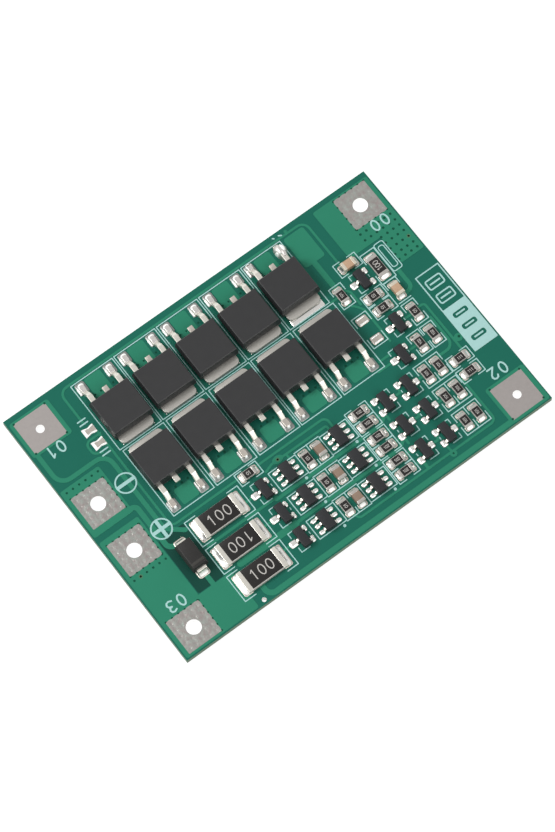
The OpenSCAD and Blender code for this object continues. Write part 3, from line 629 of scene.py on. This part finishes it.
def legend():
    """Printed outlines, signs and numerals."""
    paths = []
    for x0, x1 in ((-19.93, -13.17), (-12.87, -6.17), (-5.85, 0.85), (1.17, 7.87), (8.2, 14.75)):
        paths += box_line(x0, x1, 8.05, 19.22)
    for x0, x1 in ((-19.7, -13.1), (-12.65, -6.1), (-5.64, 1.0), (1.32, 7.9), (8.35, 15.05)):
        paths += box_line(x0, x1, -3.68, 7.7)
    for y in ROWS:
        paths += box_line(-6.35, -1.95, y - 1.55, y + 1.5)
        paths += box_line(2.05, 6.38, y - 1.55, y + 1.5)
        paths += [[(-1.95, y + 1.7), (2.05, y + 1.7)], [(-1.95, y - 1.7), (2.05, y - 1.7)],
                  [(0.02, y + 1.7), (0.02, y + 0.8)], [(0.02, y - 1.7), (0.02, y - 0.8)]]
        for y0, y1 in ((y + 0.08, y + 2.0), (y - 1.85, y + 0.02)):
            paths += box_line(6.6, 10.0, y0, y1, 7.7, 8.9)
        for x in (12.05, 15.87):
            paths += [[(x - 0.15, y + 1.6), (x + 1.26, y + 1.6), (x + 1.26, y + 0.9)],
                      [(x - 0.15, y - 1.5), (x + 1.26, y - 1.5), (x + 1.26, y - 0.8)],
                      [(x - 1.15, y - 0.1), (x - 1.15, y + 0.2)]]
        paths += [[(-7.95, y + 1.55), (-9.3, y + 1.55), (-9.3, y + 0.8)],
                  [(-7.95, y - 1.55), (-9.3, y - 1.55), (-9.3, y - 0.8)], [(-6.9, y - 0.15), (-6.9, y + 0.15)]]
        for x0, x1 in ((17.85, 19.8), (19.8, 21.8)):
            paths += box_line(x0, x1, y - 1.8, y + 1.75, y - 0.45, y + 0.45, True)
    paths += box_line(21.95, 25.45, -9.75, -7.9, 23.1, 24.3)
    paths += box_line(21.95, 25.45, -12.1, -10.15, 23.1, 24.3)
    paths += box_line(-10.1, -6.65, -5.85, -3.95, -9.0, -7.8)
    paths += box_line(15.65, 17.6, 6.0, 9.5, 7.2, 8.35, True)
    paths += [[(15.45, 2.8), (15.45, 4.2), (17.8, 4.2), (17.8, 2.8)],
              [(15.45, 0.65), (15.45, -0.85), (17.8, -0.85), (17.8, 0.65)]]
    paths += [[(18.2, 9.8), (18.2, 11.95), (19.3, 11.95)], [(18.2, 9.8), (19.3, 9.8)],
              [(20.5, 11.9), (21.75, 11.9), (21.75, 9.9), (20.5, 9.9)]]
    for x, y in ((19.95, 7.95), (19.95, 0.1), (17.6, -3.85)):
        paths += [[(x - 1.0, y + 0.8), (x - 1.0, y + 1.45), (x + 0.1, y + 1.45)],
                  [(x - 1.0, y - 0.8), (x - 1.0, y - 1.5), (x + 0.1, y - 1.5)],
                  [(x + 1.33, y - 0.15), (x + 1.33, y + 0.15)]]
    paths += box_line(21.95, 24.25, 5.8, 10.85, 7.3, 9.4, True)
    paths += [[(24.25, 7.3), (24.25, 9.4)]]
    paths += box_line(18.35, 21.75, 4.2, 6.05, 19.4, 20.7)
    paths += box_line(18.35, 21.75, 2.1, 4.05, 19.4, 20.7)
    paths += [[(22.05, 4.7), (22.05, 5.75), (24.0, 5.75), (24.0, 4.7)], [(22.05, 2.25), (24.0, 2.25)]]
    paths += box_line(22.0, 24.0, -1.65, 1.85, -0.5, 0.7, True)
    paths += box_line(19.85, 21.8, -5.55, -2.1, -4.4, -3.3, True)
    paths += box_line(22.05, 23.95, -5.6, -2.15, -4.4, -3.3, True)
    for y0, y1 in ((-9.4, -5.3), (-14.1, -9.95), (-18.75, -14.6)):
        paths += box_line(-19.2, -10.6, y0, y1, -17.5, -12.3)
    shapes = []
    for p in paths:
        shapes += strokes(p, INK_LINE)
    for y in ROWS:
        shapes += [(ADD, disc(-2.65, y - 2.0, 0.22, 12)), (ADD, disc(5.7, y - 1.97, 0.22, 12))]
    # Circled minus and plus at the load pads
    x, long, bold = -22.03, 1.35, 0.24
    for y, bars in ((3.86, ((long, bold),)), (-4.11, ((long, bold), (bold, long)))):
        shapes += strokes(oval(x, y, 1.4, 1.4, 40), RING_LINE)
        shapes += [(ADD, rect(x - dx, x + dx, y - dy, y + dy)) for dx, dy in bars]
    for text, x, y in (("00", 27.2, 13.25), ("02", 26.7, -13.25), ("03", -26.5, -13.5), ("01", -26.6, 13.2)):
        shapes += figures(text, x, y, 1.6, NUMERAL_LINE, 180, 1.0)
    for tick in (((14.2, 20.1), (14.35, 19.95)), ((15.1, 19.95), (15.45, 19.75))):
        shapes += strokes(tick, TICK_LINE)
    # Nested outlines beside the sense chip, and two bars beside each jumper
    for x0, x1, y0, y1 in ((24.35, 25.8, 6.35, 11.05), (24.65, 25.5, 6.9, 10.5)):
        ring = rect(x0, x1, y0, y1, 0.3)
        shapes += strokes(ring + ring[:1], INK_LINE)
    for y in (14.5, 13.9, 9.35, 8.75):
        shapes += strokes([(-22.2, y), (-21.0, y)], TICK_LINE)
    return shapes


def rating_label():
    """Outlined field with two plain cell symbols over a filled field with three bars."""
    shapes = []
    for line in (((26.0, 3.8), (29.7, 3.8)), ((26.0, 3.8), (26.0, -2.1)), ((29.7, 3.8), (29.7, -2.1))):
        shapes += strokes(line, LABEL_LINE)
    shapes.append((ADD, rect(25.92, 29.78, -9.3, -2.1, 0.08)))
    for y in (1.9, -0.5):
        ring = rect(26.6, 29.0, y - 0.7, y + 0.7, 0.25)
        shapes += strokes(ring + ring[:1], RING_LINE)
        shapes.append((ADD, rect(26.95, 28.65, y - 0.12, y + 0.12)))
    for y in (-3.6, -5.6, -7.6):
        shapes.append((CUT, rect(26.7, 29.0, y - 0.42, y + 0.42, 0.3)))
        shapes.append((ADD, rect(27.1, 28.6, y - 0.12, y + 0.12, 0.1)))
    return shapes


ink = Piece("legend_ink")
ink.plate(legend(), 0.0, FOIL + 0.02, LEGEND)
ink.plate(rating_label(), 0.0, FOIL + 0.02, LEGEND)
ink.make()


# Wire pads

def pad_tin(name, cx, cy, bore, rough_sides):
    """Tinned land. One with rough sides has these scalloped, and a dimple over each small hole."""
    half, steps = 2.6, 40
    dimple_r, dimple_depth = 0.23, 0.035
    outline = []
    for side in range(4):
        a = radians(90 * side)
        c, s = cos(a), sin(a)
        for k in range(steps):
            u = -half + 2 * half * k / steps
            bulge = 0.0
            if "BRTL"[side] in rough_sides:
                bulge = 0.16 * abs(sin(pi * (u - PITCH / 2) / PITCH)) ** 0.5 - 0.07
            v = -half - bulge
            outline.append((c * u - s * v, s * u + c * v))
    spots = []
    if rough_sides:
        first = -half + 0.52
        spots = [(first + PITCH * i, first + PITCH * j) for i in range(5) for j in range(5)]
    spots = [p for p in spots if hypot(*p) > bore + 0.3]
    rings = [outline, disc(0, 0, bore + 0.12, 40), disc(0, 0, bore, 40)]
    rings += [disc(x, y, r, 10) for x, y in spots for r in (0.06, 0.14, 0.22)]
    faces, points = [], []
    for ring in rings:
        faces.append(list(range(len(points), len(points) + len(ring))))
        points += [Vector(p) for p in ring]
    co, _, tris, _, _, origin = delaunay_2d_cdt(points, [], faces, 1, 1e-5)
    land, hole = 0, 2
    kept = [t for t, o in zip(tris, origin) if land in o and hole not in o]

    def height(x, y):
        z = FOIL + 0.025
        for sx, sy in spots:
            d = hypot(x - sx, y - sy)
            if d < dimple_r:
                z -= dimple_depth * (1 - (d / dimple_r) ** 2)
        rim = min(half + 0.1 - abs(x), half + 0.1 - abs(y))
        return z - 0.02 * max(0.0, 1 - rim / 0.3)

    n = len(co)
    edges = {(t[i], t[(i + 1) % 3]) for t in kept for i in range(3)}
    rim = [e for e in edges if (e[1], e[0]) not in edges]
    verts = [(v[0], v[1], height(v[0], v[1])) for v in co] + [(v[0], v[1], 0.0) for v in co]
    sides = [(b, a, a + n, b + n) for a, b in sorted(rim)]
    p = Piece(name).at(cx, cy)
    p.add(verts, [tuple(t) for t in kept] + sides, GRAINY_TIN if rough_sides else TIN)
    p.make(slot="tinned_copper")


for name, (x, y, bore, rough_sides, _) in PADS.items():
    pad_tin(name + "_tin", x, y, bore, rough_sides)


# Parts

solder = Piece("solder_and_lands")

# Chips: length, width, height and length of an end
CHIP = (2.0, 1.25, 0.5, 0.37)
TALL_CHIP = (2.0, 1.25, 1.0, 0.37)
SENSE_CHIP = (3.2, 1.6, 0.5, 0.5)
BLEED_CHIP = (6.35, 3.2, 0.6, 0.72)
# Code on a chip: height of its figures, and their pitch and stroke as shares of it
CODES = {CHIP: (0.4, 0.68, 0.15), SENSE_CHIP: (0.74, 0.68, 0.12), BLEED_CHIP: (1.47, 0.86, 0.1)}
SHORT_CODE = 0.46


def chip(piece, x, y, turn, size, kind, code=""):
    """Chip with two metal ends and the solder at them. A resistor has a dark coat with a code."""
    piece.at(x, y, turn)
    l, w, h, end = size
    big, resistor = size == BLEED_CHIP, kind == "resistor"
    core, cap = (CERAMIC, LEAD if big else CHIP_END) if resistor else (TAN, CHIP_END)
    if kind == "pale capacitor":
        core, cap = PALE_TAN, CREAM
    band = end if resistor else end + 0.08
    piece.block(l - 2 * band + 0.1, w - 0.06, 0.02, h - 0.02, 0.03, core)
    for s in (-1, 1):
        piece.block(band, w, 0.0, h, 0.06, cap, s * (l - band) / 2)
    if resistor:
        lower = 0.05 * cos(radians(turn)) if big else 0.0
        rim = 0.1 if big else 0.09
        piece.block(l - 2 * end + 0.04, w - 2 * rim, h - 0.1, h + 0.005, 0.03, BLACK_COAT, 0.0, lower)
        figure, pitch, stroke = CODES[size]
        if len(code) == 2:
            figure = SHORT_CODE
        piece.plate(figures(code, 0, lower, figure, stroke * figure, 0, pitch), h, h + 0.012, CODE)
    reach, half = 0.3 + 0.06 * l, w / 2 + 0.08
    for a in (0, 180):
        solder.at(x, y, turn + a)
        solder.dome(l / 2 - end, l / 2 + reach + 0.05, -half, half, FOIL + 0.03, 0.25, DULL_SOLDER, 0.2)
        solder.fillet(l / 2, w * (0.98 if big else 0.8), reach, h * (0.75 if resistor else 0.5), SOLDER, 0.02)


def gull(drop, out, t, bend, slope, flat, root):
    """Stations of a gull-wing lead from its root inside the moulding to its end on the land.

    It runs flat, falls by drop at slope degrees with a bend of radius bend at either end of the fall,
    and ends at the distance out.
    """
    a = radians(slope)
    fall = (drop - 2 * bend * (1 - cos(a))) / sin(a)
    heel = flat + 2 * bend * sin(a) + fall * cos(a)
    arc = [(bend * sin(a * k / 3), bend * (1 - cos(a * k / 3)), a * k / 3) for k in range(4)]
    stations = [(-root, t / 2 + drop, 0)]
    stations += [(flat + u, t / 2 + drop - v, b) for u, v, b in arc]
    stations += [(heel - u, t / 2 + v, b) for u, v, b in reversed(arc)]
    return stations + [(out, t / 2, 0)]


# Leads of the small packages: width, thickness and pitch
THIN_W, THIN_T, THIN_PITCH = 0.4, 0.13, 0.95
THIN_LEAD = gull(0.45, 0.58, THIN_T, 0.1, 78, 0.03, 0.1)


def small_package(piece, x, y, turn, w, h, leads, slid=0.0):
    """Small moulded package with its gull-wing leads: (side, place along the side).

    The lands keep their own middle when the package has slid along X.
    """
    piece.at(x, y, turn)
    piece.moulding(w, 2.9, 0.05, 0.52, h, 9, 0.05, DARK_EPOXY)
    many = len(leads) > 3
    for side, along in leads:
        a = turn if side > 0 else turn + 180
        piece.at(x, y, a)
        piece.ribbon([(w / 2 + o, z, s) for o, z, s in THIN_LEAD], THIN_W, THIN_T, LEAD, along)
        solder.at(x, y, a)
        half = 0.32 if many else 0.52
        lean = random.uniform(-0.04, 0.04)
        out = 1.82 if many else 1.68 - slid * cos(radians(a))
        low, high = along - half + lean, along + half + lean
        solder.dome(w / 2 + 0.06, out + lean, low, high, 0.32, 0.25, SOLDER, 0.85)


TRIO = ((1, 0.0), (-1, THIN_PITCH), (-1, -THIN_PITCH))
SIX = tuple((s, a) for s in (-1, 1) for a in (-THIN_PITCH, 0.0, THIN_PITCH))
# Three-lead transistors: middle, turn, and how far the package has slid on its lands
trios = [(x, y + rise, turn, slid) for y in ROWS
         for x, rise, turn, slid in ((-8.1, 0, 180, 0.34), (12.05, 0.08, 0, 0), (15.87, 0.08, 0, 0))]
trios += [(20.15, 7.95, 180, 0.2), (20.15, 0.1, 180, 0.2), (17.9, -3.95, 180, 0.3)]
for n, (x, y, turn, slid) in enumerate(trios, 1):
    p = Piece(f"small_transistor_{n}_looks")
    small_package(p, x, y, turn, 1.3, 1.0, TRIO, slid)
    p.make(f"small_transistor_{n}", slot="black_epoxy")
for n, y in enumerate(ROWS, 1):
    for name, x in (("monitor", -4.18), ("balance", 4.18)):
        p = Piece(f"cell_{name}_ic_{n}_looks")
        small_package(p, x, y, 0, 1.6, 1.1, SIX)
        p.make(f"cell_{name}_ic_{n}", slot="black_epoxy")
    p = Piece(f"channel_resistors_{n}_looks")
    chip(p, -0.98, y, 90, CHIP, "resistor", "01")
    for dy in (1.02, -0.86):
        chip(p, 8.28, y + dy, 0, CHIP, "resistor", "102")
    for x in (18.8, 20.8):
        chip(p, x, y, 90, CHIP, "resistor", "101")
    p.make(f"channel_resistors_{n}", slot="resistor_ceramic")

p = Piece("control_resistors_looks")
for x, y, turn, code in ((16.55, 7.75, 90, "101"), (19.95, 5.12, 0, "01"), (19.95, 3.05, 0, "01"),
                         (23.0, 0.1, 90, "01"), (20.8, -3.85, 90, "102"), (23.0, -3.85, 90, "102"),
                         (23.7, -8.82, 0, "111"), (23.7, -11.12, 0, "111"), (-8.4, -4.9, 0, "01")):
    chip(p, x, y, turn, CHIP, "resistor", code)
p.make("control_resistors", slot="resistor_ceramic")

p = Piece("sense_resistor_looks")
chip(p, 23.0, 8.3, 90, SENSE_CHIP, "resistor", "100")
p.make("sense_resistor", slot="resistor_ceramic")

capacitors = [(1.0, y, 90, "capacitor") for y in ROWS]
capacitors += [(19.95, 10.75, 0, "pale capacitor"), (23.0, 4.0, 90, "pale capacitor")]
for n, (x, y, turn, kind) in enumerate(capacitors, 1):
    p = Piece(f"capacitor_{n}_looks")
    chip(p, x, y, turn, TALL_CHIP, kind)
    p.make(f"capacitor_{n}", slot="capacitor_ceramic")

# The middle bleed resistor lies the other way round
for n, (y, turn) in enumerate(((-7.36, 0), (-12.02, 180), (-16.68, 0)), 1):
    p = Piece(f"bleed_resistor_{n}_looks")
    chip(p, -14.95, y, turn, BLEED_CHIP, "resistor", "100")
    p.make(f"bleed_resistor_{n}", slot="resistor_ceramic")

DIODE = (-21.2, -9.71)
# Strap of the diode, from inside the moulding down its end and back under it
STRAP = ((-0.2, 1.05, 0), (0.15, 1.05, 0), (0.22, 1.02, 0.8), (0.25, 0.95, 1.571), (0.25, 0.2, 1.571),
         (0.22, 0.13, 2.4), (0.15, 0.1, 3.1416), (-0.9, 0.1, 3.1416))
p = Piece("clamp_diode_looks").at(*DIODE)
p.moulding(2.45, 4.3, 0.25, 1.05, 2.1, 11, 0.09, DIODE_EPOXY)
p.block(2.02, 0.42, 2.0, 2.112, 0.03, BAND, 0, -1.45)
for a in (90, -90):
    p.at(*DIODE, a)
    p.ribbon([(2.15 + o, z, s) for o, z, s in STRAP], 1.45, 0.2, LEAD)
    solder.at(*DIODE, a)
    solder.dome(1.5, 3.1, -0.88, 0.88, 0.12, 0.3, DULL_SOLDER, 0.4)
    solder.fillet(2.42, 1.5, 0.62, 0.8, SOLDER, 0.05)
p.make("clamp_diode", slot="black_epoxy")

# Leads of the power transistors: width, thickness, height over the board and distance from the middle
LEAD_W, LEAD_T, LEAD_DROP, LEAD_SIDE = 0.76, 0.5, 0.9, 2.29
FORMED_LEAD = gull(LEAD_DROP, 3.1, LEAD_T, 0.25, 45, 1.0, 0.5)


def power_transistor(n, x, y, turn, slip_x=0.0, slip_y=0.0, blob=0):
    """Lead frame of a power transistor and the solder on it.

    The lands keep their place when the part has slipped. The lead on the blob's side has no foot here.
    """
    p = Piece(f"mosfet_{n}_leads_looks").at(x, y, turn)
    p.loft([tab_ring(i, z) for i, z in ((0.04, 0.0), (0.0, 0.04), (0.0, 0.42), (0.03, 0.48), (0.08, 0.5))], TAB)
    stub = DULL_SOLDER if turn else LEAD
    p.block(LEAD_W, 1.5, LEAD_DROP, LEAD_DROP + LEAD_T, 0.03, stub, 0, -3.155)
    p.at(x, y, turn - 90)
    for s in (-1, 1):
        p.ribbon([(2.975 + o, z, a) for o, z, a in FORMED_LEAD], LEAD_W, LEAD_T, LEAD, s * LEAD_SIDE)
    p.make(f"mosfet_{n}_leads", slot="lead_frame")
    lower = turn == 0
    for s in (-1, 1):
        if s == blob:
            continue
        solder.at(x, y, turn)
        c, lean = s * LEAD_SIDE, random.uniform(-0.04, 0.04)
        land = (c - 0.74 - slip_x, c + 0.74 - slip_x, -6.8 + slip_y, -4.95 + slip_y)
        # Fillet from the land's rim up to the foot, in solder darkened as painted shade
        solder.skirt(land, (c - 0.38, c + 0.38, -6.2 + 0.5 * slip_y, -5.2), 0.16, SHADED_SOLDER)
        toe = 0.5 * slip_y - 6.2
        if lower:
            solder.pillow(c - 0.4, c + 0.4, -6.2, -5.1, 0.05, 0.515, 0.05, 0.12, DULL_SOLDER, DULL_SOLDER)
            # Near-white dome at the toe: a painted highlight with a little relief
            solder.dome(c - 0.23 + lean, c + 0.23 + lean, -6.55, -6.1, 0.56, 0.2, PAINTED_LIGHT, 0.4)
        else:
            # Near-white rim at the toe: a painted highlight
            solder.pillow(c - 0.43, c + 0.43, toe - 0.24, toe + 0.4, 0.05, 0.5, 0.14, 0.42,
                          PAINTED_LIGHT, PAINTED_LIGHT)
            solder.pillow(c - 0.37, c + 0.37, toe, -5.1, 0.05, 0.53, 0.05, 0.3, PALE_SOLDER, PALE_SOLDER)
        if not lower or s > 0:
            strip, half = (c - 0.55, 0.1) if lower else (c + 0.6, 0.17)
            low, high = -6.15 + slip_y, -4.95 + slip_y
            # Narrow near-white strip along one side of the foot: a painted highlight
            solder.dome(strip - half, strip + half, low, high, 0.26, half, PAINTED_LIGHT, 1.0)
    solder.at(x, y, turn + 90)
    # Solder along the front of the tab, darkened as painted shade
    solder.fillet(4.0, 3.9, 0.16, 0.3, SHADED_SOLDER, 0.0)
    if slip_y:
        solder.dome(3.6, 4.75, -2.65, 2.65, 0.09, 0.2, SOLDER, 0.6)
    solder.at(x, y, turn)
    for s in (-1, 1):
        solder.dome(s * 2.5 - 0.1, s * 2.5 + 0.1, 3.78, 3.98, 0.12, 0.1, SOLDER, 1.0)


for k, x in enumerate(COLUMNS):
    power_transistor(k + 6, x, 3.425, 0)
    if k < 4:
        power_transistor(k + 1, x, 12.275, 180)
power_transistor(5, COLUMNS[4] - 0.06, 12.845, 180, -0.06, 0.57, -1)

# The large blob on the last upper transistor's lead; its three near-white lumps are painted highlights
solder.at(13.87, 17.87)
solder.lump(0.86, 1.12, 1.2, PALE_SOLDER, 0.03, -0.06)
solder.lump(0.34, 0.52, 0.9, PAINTED_LIGHT, -0.46, -0.14)
solder.lump(0.4, 0.8, 1.3, PAINTED_LIGHT, 0.4, 0.02)
solder.lump(0.55, 0.85, 1.62, PALE_SOLDER, 0.02, -0.8)
solder.lump(0.16, 0.2, 1.5, PAINTED_LIGHT, -0.3, -0.5)

# Two jumpers bridged with solder, and two empty lands
for y in (12.67, 10.47):
    solder.at(-21.6, y)
    sides = [(-0.9 + 0.2 * i, -1) for i in range(10)] + [(0.9 - 0.2 * i, 1) for i in range(10)]
    # The wider near-white layer shows round the edge as a painted highlight
    for z, j, k, cx, mat in ((0.12, 1.0, 1.0, 0.0, PAINTED_LIGHT), (0.16, 0.76, 0.6, 0.17, DULL_SOLDER)):
        waist = [(cx + u * j, v * k * (0.68 - 0.16 * cos(u * 1.5) ** 4)) for u, v in sides]
        solder.loft([[(u, v, 0.0) for u, v in waist], [(u * 0.97, v * 0.94, z) for u, v in waist]], mat)
for y in (3.3, 0.07):
    solder.at(16.62, y)
    solder.pillow(-0.86, 0.86, -0.62, 0.62, 0.0, 0.14, 0.1, 0.25, DULL_SOLDER, DULL_SOLDER)
    # The near-white dome along one edge is a painted highlight
    for middle, mat in ((-0.43, PAINTED_LIGHT), (0.43, SOLDER)):
        solder.dome(-0.72, 0.72, middle - 0.14, middle + 0.14, 0.19, 0.14, mat, 0.8)
solder.make("solder_joints", slot="solder")


# Solids that stay in view

for name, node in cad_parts.items():
    if name == "circuit_board":
        looks = LACQUER
    elif name.startswith("pad_"):
        looks = BARREL
    elif name.endswith("_leads"):
        looks = LEAD
    elif name.startswith("mosfet_"):
        looks = EPOXY
    else:
        continue
    node.data.materials.clear()
    node.data.materials.append(looks)


# Camera, light and floor

# Place of the camera, fitted to the board's corners in the photograph: its turn and the board's
# middle as it sees it, and its focal length in pixels of a picture with this long side
turn = Matrix(((0.80052737, -0.59897802, -0.01952587),
               (-0.5677138, -0.74750039, -0.34488289),
               (0.19198168, 0.2871733, -0.93844261)))
MIDDLE = Vector((-0.0131, -0.7914, 477.186))
FOCAL, LONG_SIDE, SENSOR = 3603.7, 832, 36
centre = -(turn.transposed() @ MIDDLE) + Vector((0, 0, TOP))
pose = Matrix((turn[0], -turn[1], -turn[2])).transposed().to_4x4()
pose.translation = centre * MM
camera = new_object("camera", bpy.data.cameras.new("camera"))
camera.data.lens = SENSOR * FOCAL / LONG_SIDE
camera.data.sensor_width = SENSOR
camera.data.clip_start = 0.01
camera.matrix_world = pose
bpy.context.scene.camera = camera

world = bpy.data.worlds.new("world")
bpy.context.scene.world = world
world.use_nodes = True
tree = world.node_tree

# Diffuse light comes from an even sky. Shiny surfaces see white surroundings low down, brightest to
# the left and in front, and a darker ceiling.
WHITE = (1, 1, 1, 1)
sky = tree.nodes["Background"]
sky.inputs["Color"].default_value = WHITE
sky.inputs["Strength"].default_value = 0.55
plain = new_node(tree, "ShaderNodeBackground", Color=WHITE, Strength=1.0)
facing = new_node(tree, "ShaderNodeTexCoord")
split = new_node(tree, "ShaderNodeSeparateXYZ")
link(facing.outputs["Generated"], split.inputs["Vector"])
low = new_node(tree, "ShaderNodeMapRange", From_Min=0.85, From_Max=0.5, To_Min=0.25, To_Max=1.0)
link(split.outputs["Z"], low.inputs["Value"])
side = new_node(tree, "ShaderNodeVectorMath", "DOT_PRODUCT")
side.inputs[1].default_value = Vector((-0.9, -0.35, 0)).normalized()
link(facing.outputs["Generated"], side.inputs[0])
left = new_node(tree, "ShaderNodeMapRange", From_Min=-0.95, From_Max=0.1, To_Min=0.5, To_Max=1.0)
bright = new_node(tree, "ShaderNodeBackground", Color=WHITE, Strength=1.3)
link(side.outputs["Value"], left.inputs["Value"])
path = new_node(tree, "ShaderNodeLightPath")
white = new_node(tree, "ShaderNodeMath", "MULTIPLY")
link(low.outputs["Result"], white.inputs[0])
link(left.outputs["Result"], white.inputs[1])
shiny = new_node(tree, "ShaderNodeMath", "MULTIPLY")
link(white.outputs[0], shiny.inputs[0])
link(path.outputs["Is Glossy Ray"], shiny.inputs[1])
seen = new_node(tree, "ShaderNodeMath", "MAXIMUM")
link(path.outputs["Is Camera Ray"], seen.inputs[0])
link(path.outputs["Is Transmission Ray"], seen.inputs[1])
reflected = new_node(tree, "ShaderNodeMixShader")
link(shiny.outputs[0], reflected.inputs["Fac"])
link(sky.outputs["Background"], reflected.inputs[1])
link(bright.outputs["Background"], reflected.inputs[2])
choose = new_node(tree, "ShaderNodeMixShader")
link(seen.outputs[0], choose.inputs["Fac"])
link(reflected.outputs["Shader"], choose.inputs[1])
link(plain.outputs["Background"], choose.inputs[2])
link(choose.outputs["Shader"], tree.nodes["World Output"].inputs["Surface"])


def area_light(name, x, y, z, size, power):
    """Square light that faces the board, with its place and size in metres."""
    light = bpy.data.lights.new(name, "AREA")
    light.size = size
    light.energy = power
    o = new_object(name, light)
    o.location = (x, y, z)
    o.rotation_euler = Vector((x, y, z)).to_track_quat("Z", "Y").to_euler()


area_light("key", -0.38, 0.27, 0.5, 0.3, 3.0)
area_light("fill", 0.05, -0.5, 0.5, 0.4, 1.2)

# Half the side of the floor in metres, and its height just under the board
REACH, UNDER = 2, -0.0002
floor_mesh = bpy.data.meshes.new("floor")
corners = [(-REACH, -REACH, UNDER), (REACH, -REACH, UNDER), (REACH, REACH, UNDER), (-REACH, REACH, UNDER)]
floor_mesh.from_pydata(corners, [], [(0, 1, 2, 3)])
floor = new_object("floor", floor_mesh)
floor.data.materials.append(floor_material())

bpy.context.scene.view_settings.view_transform = "Standard"
